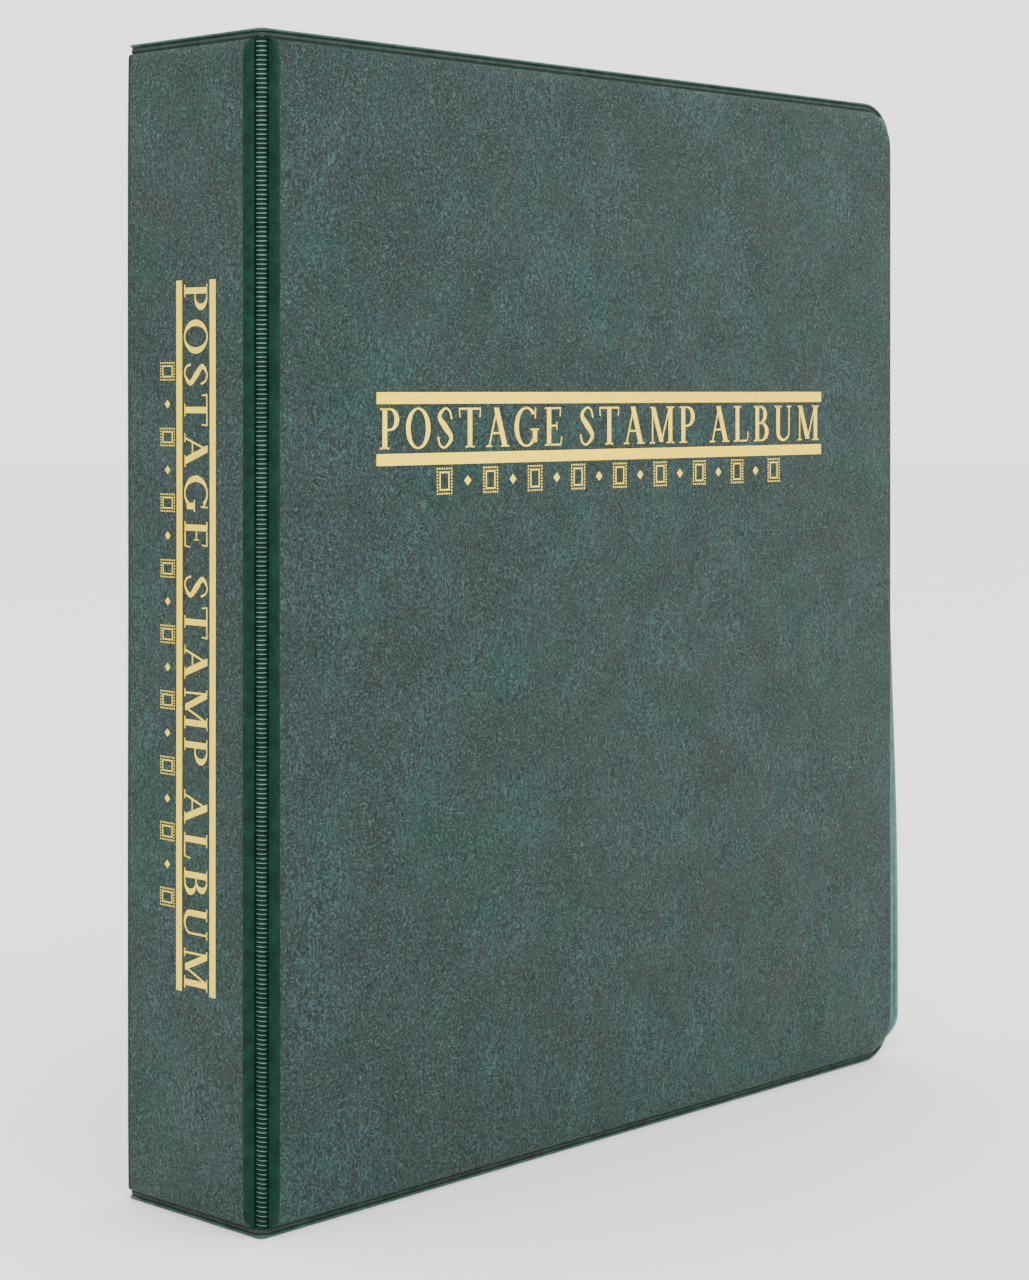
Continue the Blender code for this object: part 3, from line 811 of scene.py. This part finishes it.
def rib_rise(share, z):
    """The pressed ribs: their tops are rounded off at the sides, and the column ends in an arch."""
    inset = min(z, HEIGHT - z) - RIB_MARGIN
    arch = math.sqrt(max(1 - max(1 - inset / RIB_ARCH, 0.0) ** 2, 0.0)) if inset > 0 else 0.0
    side = smooth_step(0.0, RIB_FADE, RIB_HALF * arch - abs(share - 0.5))
    phase = (z - RIB_MARGIN) / RIB_PITCH % 1.0
    bar = smooth_step(*RIB_UP, phase) * (1 - smooth_step(*RIB_DOWN, phase))
    slant = RIB_SLANT * smooth_step(HEIGHT * RIB_SLANT_TOP, 0.0, z) * (share - 0.5) * RIB_PITCH
    return bar * side * RIB_RISE - CREASE_SINK, z + slant


def creases():
    """The two flexible corners, each a strip with its column of ribs."""
    reach = (CREASE_REACH - WELD_DEPTH - CREASE_RADIUS) / (math.pi / 2 * CREASE_RADIUS)
    strip_shares = [-reach, -reach / 2, -STRIP_SHOULDER]
    strip_shares += [i / 8 for i in range(9)]
    strip_shares += [1 + STRIP_SHOULDER, 1 + reach / 2, 1 + reach]
    rib_shares = [(1 + 2 * RIB_SPREAD) * i / RIB_COLUMNS - RIB_SPREAD for i in range(RIB_COLUMNS + 1)]
    strip_rows = stations(HEIGHT, WELDED_STATIONS, WELDED_STATIONS)
    start = RIB_MARGIN - RIB_PITCH / 2
    count = int((HEIGHT - 2 * start) / RIB_PITCH)
    rib_rows = [start + RIB_PITCH * (rib + phase) for rib in range(count) for phase in RIB_PHASES]
    strip_looks = (CREASE_AND_SHADE, RIM, WELD_BAND)
    for side, corner_y, inward in (("front", FRONT_Y, 1), ("back", BACK_Y, -1)):
        name = f"{side}_crease"
        corner = (corner_y, inward)
        strip = crease_grid(f"{name}_strip", strip_shares, strip_rows, strip_rise, strip_looks, *corner)
        strip_columns = len(strip_shares) - 1
        for index, polygon in enumerate(strip.data.polygons):
            z = strip_rows[index // strip_columns]
            inset = min(z, HEIGHT - z)
            if inset < RIB_MARGIN and abs(inset - GROOVE_PLACE) > GROOVE_SPREAD:
                polygon.material_index = strip_looks.index(WELD_BAND if inset > GROOVE_PLACE else RIM)
        thicken(strip, CREASE_GAUGE)
        ribs = crease_grid(f"{name}_ribs", rib_shares, rib_rows, rib_rise, (CREASE_AND_SHADE, RIB_HIGHLIGHT), *corner)
        # Painted highlight and painted shade: the ribs' upper faces get the lighter vinyl, and their lower
        # faces and the gaps get the dark crease vinyl.
        for index, polygon in enumerate(ribs.data.polygons):
            phase = RIB_PHASES[index // RIB_COLUMNS % len(RIB_PHASES)]
            polygon.material_index = int(RIB_LIT[0] <= phase < RIB_LIT[1])
        thicken(ribs, RIB_RISE)
        for piece in (strip, ribs):
            keep_rest_place(piece)
            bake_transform(piece)
        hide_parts(name)


# --- Gold foil ---


class Foil:
    """Flat shapes stamped on a panel's face, collected as polygons in the artwork's own axes."""

    def __init__(self):
        self.vertices = []
        self.faces = []

    def shape(self, corners):
        """Add one convex polygon."""
        first = len(self.vertices)
        self.vertices += corners
        self.faces.append(tuple(range(first, first + len(corners))))

    def bar(self, left, low, right, high, step=2.5 * MM):
        """Add a rectangle, cut up so that it can follow the padded face."""
        count = max(int((right - left) / step), 1)
        for i in range(count):
            a, b = (left + (right - left) * j / count for j in (i, i + 1))
            self.shape([(a, low), (b, low), (b, high), (a, high)])

    def placed(self, name, panel, place):
        """Make the piece on a panel; place turns artwork axes into the panel's x and z."""
        width, _, matrix, body = PANELS[panel]
        points = []
        for along, up in self.vertices:
            x, z = place(along, up)
            points.append(matrix @ Vector((x, face_swell(x, z, width) - FOIL_LIFT, z)))
        piece = new_piece(name, points, self.faces, (GOLD,), smooth=False)
        outward = matrix.to_3x3() @ Vector((0, -1, 0))
        for polygon in piece.data.polygons:
            if polygon.normal.dot(outward) < 0:
                polygon.flip()
        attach(piece, body)


THICK = 0.15
THIN = 0.045
SERIF = 0.036
SERIF_REACH = 0.075


def stroke(x0, y0, x1, y1, width):
    """A straight stroke between two heights, of a given width across."""
    half = width / 2
    return [[(x0 - half, y0), (x0 + half, y0), (x1 + half, y1), (x1 - half, y1)]]


def foot(x, width, high):
    """A serif at the foot or the head of a stem."""
    reach = width / 2 + SERIF_REACH
    low = 1 - SERIF if high else 0
    return stroke(x, low, x, low + SERIF, 2 * reach)


def stem(x, width=THICK, top=True, bottom=True, low=0.0):
    """An upright with its serifs."""
    parts = stroke(x, low, x, 1, width)
    if top:
        parts += foot(x, width, True)
    if bottom:
        parts += foot(x, width, False)
    return parts


def rule(left, right, y, width=THIN):
    """A thin level stroke, by its middle height."""
    middle = (left + right) / 2
    return stroke(middle, y - width / 2, middle, y + width / 2, right - left)


def bowl(cx, cy, rx, ry, start, end, sides=20):
    """A round stroke, thick at the sides and thin at the top and bottom."""
    parts = []
    for i in range(sides):
        turns = [math.radians(start + (end - start) * j / sides) for j in (i, i + 1)]
        outer = [(cx + rx * math.cos(t), cy + ry * math.sin(t)) for t in turns]
        inner = [(cx + (rx - THICK) * math.cos(t), cy + (ry - THIN) * math.sin(t)) for t in turns]
        parts.append(outer + inner[::-1])
    return parts


def ribbon(points, widths, steps=6):
    """A stroke of changing width along a smooth line through points."""
    spots = [Vector(point) for point in points]
    line = []
    for i, (start, end) in enumerate(zip(spots, spots[1:])):
        leave = start + (end - spots[max(i - 1, 0)]) / 6
        reach = end - (spots[min(i + 2, len(spots) - 1)] - start) / 6
        curve = interpolate_bezier(start, leave, reach, end, steps + 1)
        for step in range(steps + (end is spots[-1])):
            line.append((curve[step], widths[i] + (widths[i + 1] - widths[i]) * step / steps))
    sides = []
    for i, (spot, width) in enumerate(line):
        along = line[min(i + 1, len(line) - 1)][0] - line[max(i - 1, 0)][0]
        across = along.normalized().orthogonal() * width / 2
        sides.append((tuple(spot + across), tuple(spot - across)))
    return [[a[0], a[1], b[1], b[0]] for a, b in zip(sides, sides[1:])]


S_LINE = (
    (0.52, 0.72), (0.44, 0.93), (0.27, 0.98), (0.10, 0.78), (0.30, 0.52), (0.50, 0.25), (0.30, 0.02),
    (0.12, 0.07), (0.05, 0.28)
)
S_WIDTHS = (0.05, 0.05, 0.05, 0.12, 0.17, 0.12, 0.05, 0.05, 0.05)
U_LINE = ((0.17, 0.34), (0.20, 0.13), (0.41, 0.02), (0.62, 0.13), (0.66, 0.34))
U_WIDTHS = (THICK, 0.13, 0.06, 0.05, THIN)

# Each letter's advance and strokes, in heights of a capital.
LETTERS = {
    "P": (
        0.66,
        stem(0.17) + rule(0.17, 0.34, 0.98) + rule(0.17, 0.34, 0.47)
        + bowl(0.34, 0.725, 0.30, 0.277, -90, 90),
    ),
    "O": (0.84, bowl(0.42, 0.5, 0.41, 0.515, 0, 360, 32)),
    "S": (0.58, ribbon(S_LINE, S_WIDTHS)),
    "T": (
        0.74,
        stem(0.37, top=False) + rule(0.0, 0.74, 0.978)
        + stroke(0.02, 0.76, 0.0, 1, 0.03) + stroke(0.72, 0.76, 0.74, 1, 0.03),
    ),
    "A": (
        0.80,
        stroke(0.10, 0, 0.39, 1, 0.05) + stroke(0.67, 0, 0.36, 1, 0.17) + rule(0.20, 0.57, 0.35)
        + foot(0.10, 0.06, False) + foot(0.67, 0.14, False),
    ),
    "G": (
        0.90,
        bowl(0.44, 0.5, 0.43, 0.515, 42, 318, 26) + stroke(0.75, 0.10, 0.75, 0.43, THICK)
        + rule(0.60, 0.89, 0.43) + stroke(0.76, 0.72, 0.77, 1.0, 0.035),
    ),
    "E": (
        0.68,
        stem(0.17) + rule(0.17, 0.60, 0.978) + rule(0.17, 0.47, 0.52) + rule(0.17, 0.63, 0.022)
        + stroke(0.58, 0.76, 0.60, 1, 0.03) + stroke(0.46, 0.42, 0.46, 0.62, 0.03)
        + stroke(0.61, 0, 0.64, 0.24, 0.03),
    ),
    "M": (
        1.02,
        stem(0.14, THIN) + stem(0.86) + stroke(0.50, 0.04, 0.16, 1, 0.16)
        + stroke(0.50, 0.04, 0.83, 1, 0.05),
    ),
    "L": (0.66, stem(0.17) + rule(0.17, 0.61, 0.022) + stroke(0.59, 0, 0.63, 0.28, 0.03)),
    "B": (
        0.72,
        stem(0.17) + rule(0.17, 0.32, 0.978) + rule(0.17, 0.34, 0.515) + rule(0.17, 0.34, 0.022)
        + bowl(0.32, 0.755, 0.27, 0.245, -90, 90) + bowl(0.34, 0.27, 0.32, 0.27, -90, 90),
    ),
    "U": (
        0.80,
        stem(0.17, bottom=False, low=0.32) + stem(0.66, THIN, bottom=False, low=0.32)
        + ribbon(U_LINE, U_WIDTHS),
    ),
}


def title(foil, left, base, caps, length):
    """Set the title between two ends, letters spread evenly."""
    pen = 0.0
    placed = []
    for letter in TITLE:
        if letter == " ":
            pen += WORD_GAP
            continue
        advance, parts = LETTERS[letter]
        placed.append((pen, parts))
        pen += advance + LETTER_GAP
    stretch = length / (pen - LETTER_GAP)
    for start, parts in placed:
        for corners in parts:
            foil.shape([(left + (start + x) * stretch, base + y * caps) for x, y in corners])


def stamp_row(foil, left, length, base, tall):
    """A row of small stamp outlines with perforated edges, and lozenges between them."""
    pitch = length / (2 * STAMPS - 1)
    half_wide = tall * STAMP_WIDE / 2
    half = tall * LOZENGE_HALF
    reach = tall * STAMP_TOOTH / 2
    inner, line = tall * STAMP_INNER, tall * STAMP_LINE
    centre = base + tall / 2
    for i in range(2 * STAMPS - 1):
        middle = left + pitch * (i + 0.5)
        if i % 2:
            sides = [(middle - half, centre), (middle, centre - half)]
            sides += [(middle + half, centre), (middle, centre + half)]
            foil.shape(sides)
            continue
        across = [middle + half_wide * (along / 3 - 1) for along in range(7)]
        teeth = [(x, y) for x in across for y in (base, base + tall)]
        teeth += [(x, base + tall * up / 8) for up in range(1, 8) for x in (across[0], across[-1])]
        for x, y in teeth:
            foil.bar(x - reach, y - reach, x + reach, y + reach)
        low, high = base + inner, base + tall - inner
        near, far = across[0] + inner, across[-1] - inner
        foil.bar(near, low, far, low + line)
        foil.bar(near, high - line, far, high)
        foil.bar(near, low + line, near + line, high - line)
        foil.bar(far - line, low + line, far, high - line)


def artwork(bar_start, bar_length, bars, bar_width, title_base, caps, row):
    """Two bars with the title between them, and the row of stamps below."""
    foil = Foil()
    for low in bars:
        foil.bar(bar_start, low, bar_start + bar_length, low + bar_width)
    margin = caps * TITLE_MARGIN
    title(foil, bar_start + margin, title_base, caps, bar_length - 2 * margin)
    stamp_row(foil, *row)
    return foil


def gold_foil_pieces():
    """The artwork on the front cover, and again on the spine, where it reads downwards."""
    artwork(**COVER_ART).placed("cover_foil", "front", lambda along, up: (along, up))
    artwork(**SPINE_ART).placed("spine_foil", "spine", lambda along, up: (up, -along))


# --- Ring mechanism ---

RING_LEVELS = ("bottom", "middle", "top")
INNER_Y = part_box("back_liner")[0].y
POST_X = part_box("ring_post_middle")[1].x - WIRE_RADIUS
BOW_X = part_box("ring_bow_middle")[1].x - WIRE_RADIUS


def inside(x, height, z):
    """Point at a height above the back lining."""
    return Vector((x, INNER_Y - height, z))


def tube(name, route, sides=16):
    """Sweep a round wire along a route, with narrowed ends."""
    points = []
    count = len(route)
    for i, spot in enumerate(route):
        along = (route[min(i + 1, count - 1)] - route[max(i - 1, 0)]).normalized()
        side = along.cross(Vector((0, 0, 1))).normalized()
        up = side.cross(along)
        for step in range(sides):
            turn = 2 * math.pi * step / sides
            thin = WIRE_END if i in (0, count - 1) else 1.0
            across = side * math.cos(turn) + up * math.sin(turn)
            points.append(spot + across * WIRE_RADIUS * thin)
    faces = grid_faces(count, sides, closed=True)
    faces.append(tuple(range(sides)))
    faces.append(tuple(range((count - 1) * sides, count * sides)))
    piece = new_piece(name, points, faces, (NICKEL,))
    face_outward(piece)
    return piece


def ring_arc(start, end, z):
    """Points on the round top of a ring, between two angles."""
    turns = [start + (end - start) * i / WIRE_STEPS for i in range(WIRE_STEPS + 1)]
    centre_x = POST_X - RING_RADIUS
    return [
        inside(centre_x + RING_RADIUS * math.cos(t), RING_HEIGHT + RING_RADIUS * math.sin(t), z)
        for t in turns
    ]


def ring_wires():
    """The six ring halves, each bent from round wire."""
    for level in RING_LEVELS:
        low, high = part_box(f"ring_post_{level}")
        z = (low.z + high.z) / 2
        base = INNER_Y - high.y
        bow_side = POST_X - 2 * RING_RADIUS
        post = [inside(POST_X, base, z), inside(POST_X, base + WIRE_START, z)]
        post += [inside(POST_X, base + (RING_HEIGHT - base) * i / 6, z) for i in range(1, 6)]
        post += ring_arc(0, SPLIT - SPLIT_GAP / 2, z)
        bow = ring_arc(SPLIT + SPLIT_GAP / 2, math.pi, z)
        bow += interpolate_bezier(
            inside(bow_side, RING_HEIGHT, z),
            inside(bow_side, BOW_UPPER, z),
            inside(BOW_X - BOW_SWAY, BOW_LOWER, z),
            inside(BOW_X, base + WIRE_RADIUS, z),
            WIRE_STEPS + 1,
        )[1:]
        bow += [inside(BOW_X, base + WIRE_START, z), inside(BOW_X, base, z)]
        for kind, route, body in (("post", post, "ring_posts"), ("bow", bow, "ring_bows")):
            piece = tube(f"{kind}_wire_{level}", route)
            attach(piece, body)
            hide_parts(f"ring_{kind}_{level}")


def rivets():
    """The two rivets: a domed head outside the back cover, a shank, and a rolled end on the sheath."""
    sides = 40
    seat = BACK_Y - RIVET_SUNK
    turns = [2 * math.pi * step / sides for step in range(sides)]
    for level in ("bottom", "top"):
        node = f"rivet_{level}"
        low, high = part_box(node)
        middle = (low + high) / 2
        head = (high.x - low.x) / 2
        profile = [(0.0, high.y)]
        profile += [
            (head * math.sin(turn), high.y - RIVET_DOME * (1 - math.cos(turn))) for turn in RIVET_TURNS
        ]
        profile += [(head, seat), (RIVET_SHANK, seat), (RIVET_SHANK, low.y + RIVET_NECK)]
        profile += [(RIVET_ROLL, low.y + ROLL_TALL), (RIVET_ROLL - ROLL_EASE, low.y), (0.0, low.y)]
        points = []
        for radius, y in profile:
            points += [(middle.x + radius * math.cos(t), y, middle.z + radius * math.sin(t)) for t in turns]
        faces = grid_faces(len(profile), sides, closed=True)
        piece = new_piece(f"{node}_turned", points, faces, (NICKEL,))
        face_outward(piece)
        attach(piece, "back_cover")
        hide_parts(node)


# --- Pages ---


def sheet_outline(low, high, z_levels):
    """Corner points of a page and of its three oblong holes."""
    rings = [[(low.x, low.z), (high.x, low.z), (high.x, high.z), (low.x, high.z)]]
    sides = 20
    for level in z_levels:
        hole = []
        for step in range(sides):
            turn = 2 * math.pi * (step + 0.5) / sides
            centre = POST_X + HOLE_FROM_POST + math.copysign(HOLE_STRETCH, math.cos(turn))
            hole.append((centre + HOLE_RADIUS * math.cos(turn), level + HOLE_RADIUS * math.sin(turn)))
        rings.append(hole)
    return rings


def punched_sheets(name, node, body, count, seed):
    """A pile of thin punched sheets in the room of one CAD node, each a little out of line."""
    draw = random.Random(seed)
    low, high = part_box(node)
    levels = [sum(corner.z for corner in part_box(f"ring_post_{level}")) / 2 for level in RING_LEVELS]
    pitch = (high.y - low.y) / count
    gauge = pitch * (SHEET_SHARE if count > 1 else 1.0)
    bm = bmesh.new()
    for i in range(count):
        slip_x = draw.uniform(-PAGE_PLAY, 0) if count > 1 else 0.0
        slip_z = draw.uniform(-PAGE_PLAY, PAGE_PLAY) if count > 1 else 0.0
        edges = []
        for ring in sheet_outline(low, high, levels):
            corners = [bm.verts.new((x + slip_x, low.y + pitch * i, z + slip_z)) for x, z in ring]
            edges += [bm.edges.new((a, b)) for a, b in zip(corners, corners[1:] + corners[:1])]
        filled = bmesh.ops.triangle_fill(bm, edges=edges, use_beauty=True)
        flat = [part for part in filled["geom"] if isinstance(part, bmesh.types.BMFace)]
        raised = bmesh.ops.extrude_face_region(bm, geom=flat, use_keep_orig=True)
        moved = [part for part in raised["geom"] if isinstance(part, bmesh.types.BMVert)]
        bmesh.ops.translate(bm, verts=moved, vec=(0, gauge, 0))
    bmesh.ops.recalc_face_normals(bm, faces=bm.faces)
    piece = new_piece(name, [], [], (PAPER,), smooth=False)
    bm.to_mesh(piece.data)
    bm.free()
    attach(piece, body)
    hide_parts(node)


def printed_frames(name, node, body, columns, rows):
    """Empty stamp frames, printed on the side of a leaf that faces the reader."""
    low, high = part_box(node)
    left, right = low.x + PRINT_LEFT, high.x - PRINT_RIGHT
    base, top = low.z + PRINT_BASE, high.z - PRINT_TOP
    cell = Vector(((right - left) / columns, (top - base) / rows))
    frame_size = cell * Vector(FRAME_SHARE)
    line = PRINT_LINE
    points, faces = [], []

    def box(x0, z0, x1, z1):
        first = len(points)
        y = low.y - PRINT_LIFT
        points.extend([(x0, y, z0), (x1, y, z0), (x1, y, z1), (x0, y, z1)])
        faces.append((first, first + 1, first + 2, first + 3))

    for column in range(columns):
        for row in range(rows):
            centre = Vector((left + cell.x * (column + 0.5), base + cell.y * (row + 0.5)))
            near, far = centre - frame_size / 2, centre + frame_size / 2
            box(near.x, near.y, far.x, near.y + line)
            box(near.x, far.y - line, far.x, far.y)
            box(near.x, near.y, near.x + line, far.y)
            box(far.x - line, near.y, far.x, far.y)
    box(left, top + HEAD_RULE, right, top + HEAD_RULE + HEAD_WIDTH)
    box(left, base - FOOT_RULE, right, base - FOOT_RULE + line)
    piece = new_piece(name, points, faces, (INK,), smooth=False)
    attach(piece, body)


def pages():
    """Three bundles of sheets, and three turning leaves with printed frames."""
    for seed, place in enumerate(("back", "middle", "front")):
        punched_sheets(f"{place}_sheets", f"pages_{place}", "page_stack", PAGE_SHEETS, seed)
    for number, (columns, rows) in enumerate(((4, 4), (3, 4), (4, 5)), start=1):
        punched_sheets(f"turning_sheet_{number}", f"leaf_{number}", f"turning_leaf_{number}", 1, number)
        printed_frames(f"frames_{number}", f"leaf_{number}", f"turning_leaf_{number}", columns, rows)


def carried_nodes():
    """Give every CAD node the nickel of the parts that stay in view: sheath, blades and levers."""
    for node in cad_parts.values():
        node.data.materials.clear()
        node.data.materials.append(NICKEL)


# --- Stage ---

VIEW_AZIMUTH = math.radians(46.45)
CORNER_DISTANCE = 0.6634
CORNER_LEFT = 0.0610
EYE_HEIGHT = 0.2046
SENSOR = 36.0
LENS = 77.5
SHIFT_Y = -0.195
FLOOR_REACH = 6.0
WORLD_LIGHT = 2.3
# Name, position, size and power of each light.
LIGHTS = (("key", (-1.3, -1.1, 1.3), 1.2, 22), ("fill", (0.9, -1.7, 0.7), 1.4, 14))


def camera():
    """Level camera, shifted down, looking past the corner between the spine and the front cover."""
    data = bpy.data.cameras.new("camera")
    data.sensor_fit = "VERTICAL"
    data.sensor_height = SENSOR
    data.lens = LENS
    data.shift_y = SHIFT_Y
    data.clip_start = 0.01
    view = Vector((math.sin(VIEW_AZIMUTH), math.cos(VIEW_AZIMUTH), 0))
    right = Vector((math.cos(VIEW_AZIMUTH), -math.sin(VIEW_AZIMUTH), 0))
    corner = Vector((SPINE_X + WELD_DEPTH, FRONT_Y + WELD_DEPTH, EYE_HEIGHT))
    made = add_object("camera", data)
    made.location = corner - view * CORNER_DISTANCE + right * CORNER_LEFT
    made.rotation_euler = (math.pi / 2, 0, -VIEW_AZIMUTH)
    bpy.context.scene.camera = made


def area_light(name, position, size, power):
    """A square soft light aimed at the middle of the album."""
    data = bpy.data.lights.new(name, "AREA")
    data.size = size
    data.energy = power
    made = add_object(name, data)
    made.location = position
    aim = Vector((0, 0, MID_Z)) - Vector(position)
    made.rotation_euler = aim.to_track_quat("-Z", "Y").to_euler()


def stage():
    """Pale floor, white surroundings and soft lights."""
    corners = [(FLOOR_REACH * x, FLOOR_REACH * y, 0) for x, y in ((-1, -1), (1, -1), (1, 1), (-1, 1))]
    floor = new_piece("floor", corners, [(0, 1, 2, 3)], [floor_paint()], smooth=False)
    world = bpy.data.worlds.new("studio")
    world.use_nodes = True
    background = world.node_tree.nodes["Background"].inputs
    background["Color"].default_value = (1, 1, 1, 1)
    background["Strength"].default_value = WORLD_LIGHT
    bpy.context.scene.world = world
    for light in LIGHTS:
        area_light(*light)


camera()
stage()
carried_nodes()
case_panels()
boards()
creases()
gold_foil_pieces()
ring_wires()
rivets()
pages()
